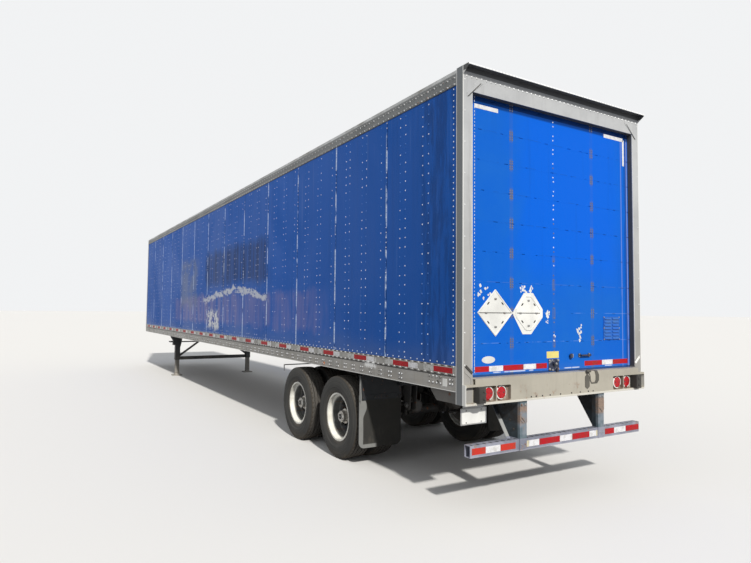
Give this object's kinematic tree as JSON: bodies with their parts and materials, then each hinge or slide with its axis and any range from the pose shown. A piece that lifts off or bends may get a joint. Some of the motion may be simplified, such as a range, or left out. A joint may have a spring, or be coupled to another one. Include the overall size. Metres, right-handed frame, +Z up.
{
  "type": "dry van semi-trailer",
  "caption": "Long box semi-trailer with riveted sheet sides, roll-up rear door, sliding tandem of twin wheels, landing legs, underride guard and kingpin.",
  "frame": {"origin": "on the ground, under the middle of the outer box", "axes": "+X forward to the nose, +Y to the street (left) side, +Z up"},
  "size_m": [16.154, 2.5908, 4.115],
  "materials": {
    "side_blue": "faded blue paint on riveted aluminium sheet",
    "door_blue": "brighter blue paint on plywood door panels",
    "rail": "dull mill-finish extrusion with reflective tape",
    "roof_skin": "one-piece mill-finish sheet, weathered",
    "rear_frame": "grey painted steel, rust at the edges",
    "drip_cap": "grey painted steel header",
    "chassis": "black painted steel with road dirt",
    "running_gear": "black painted steel, greasy",
    "floor_wood": "laminated hardwood boards",
    "tyre_rubber": "dusty road tyre",
    "rim_white": "white painted steel disc wheel",
    "hub_iron": "cast hub and drum with surface rust",
    "bumper_rubber": "black moulded rubber",
    "lamp_red": "red lens in a pale ring",
    "lamp_amber": "amber lens",
    "galvanised": "zinc-plated steel",
    "placard_white": "white painted sheet, blank",
    "zinc_fittings": "plated steel, worn",
    "guard_steel": "grey steel with rust and reflective tape",
    "flap_rubber": "black flap, dusty",
    "webbing": "grey-brown webbing",
    "tank_black": "black painted air tank"
  },
  "bodies": {
    "trailer_body": {"floor_deck": "floor_wood", "crossmembers": "chassis", "bottom_rail_left": "rail", "bottom_rail_right": "rail", "side_wall_left": "side_blue", "side_wall_right": "side_blue", "top_rail_left": "rail", "top_rail_right": "rail", "rear_post_left": "rear_frame", "rear_post_right": "rear_frame", "roof": "roof_skin", "nose_posts": "rail", "nose_rails": "rail", "front_wall": "side_blue", "rear_header": "drip_cap", "rear_sill": "rear_frame", "tail_lamps": "lamp_red", "dock_bumpers": "bumper_rubber", "roll_up_door": "door_blue", "door_hinges": "zinc_fittings", "placard_holders": "placard_white", "door_fittings": "zinc_fittings", "underride_frame": "guard_steel", "underride_tube": "guard_steel", "plate_bracket": "galvanised", "rear_skirts": "rear_frame", "slide_rails": "chassis", "upper_coupler": "chassis", "landing_legs": "running_gear", "landing_feet": "running_gear", "landing_braces": "running_gear", "landing_crank": "running_gear", "pull_strap": "webbing", "front_connections": "galvanised", "marker_lamps": "lamp_amber"},
    "tandem": {"bogie_frame": "chassis", "leaf_springs": "running_gear", "equalizers": "running_gear", "axle_front": "running_gear", "axle_rear": "running_gear", "brake_chambers": "tank_black", "air_tank": "tank_black", "mud_flaps": "flap_rubber", "mud_flap_hangers": "galvanised", "lock_pins": "zinc_fittings", "radius_rods": "running_gear", "brake_camshafts": "running_gear"},
    "wheels_front_left": {"tyres_front_left": "tyre_rubber", "rims_front_left": "rim_white", "hub_front_left": "hub_iron"},
    "wheels_front_right": {"tyres_front_right": "tyre_rubber", "rims_front_right": "rim_white", "hub_front_right": "hub_iron"},
    "wheels_rear_left": {"tyres_rear_left": "tyre_rubber", "rims_rear_left": "rim_white", "hub_rear_left": "hub_iron"},
    "wheels_rear_right": {"tyres_rear_right": "tyre_rubber", "rims_rear_right": "rim_white", "hub_rear_right": "hub_iron"}
  },
  "joints": [
    {"name": "tandem_slide", "type": "slide", "parent": "trailer_body", "child": "tandem", "axis": [1, 0, 0], "range_m": [-0.6096, 1.2192]},
    {"name": "wheels_front_left_spin", "type": "hinge", "parent": "tandem", "child": "wheels_front_left", "pos_m": [-4.287, 0.9839, 0.51], "axis": [0, 1, 0], "continuous": true},
    {"name": "wheels_front_right_spin", "type": "hinge", "parent": "tandem", "child": "wheels_front_right", "pos_m": [-4.287, -0.9839, 0.51], "axis": [0, 1, 0], "continuous": true},
    {"name": "wheels_rear_left_spin", "type": "hinge", "parent": "tandem", "child": "wheels_rear_left", "pos_m": [-5.532, 0.9839, 0.51], "axis": [0, 1, 0], "continuous": true},
    {"name": "wheels_rear_right_spin", "type": "hinge", "parent": "tandem", "child": "wheels_rear_right", "pos_m": [-5.532, -0.9839, 0.51], "axis": [0, 1, 0], "continuous": true}
  ]
}
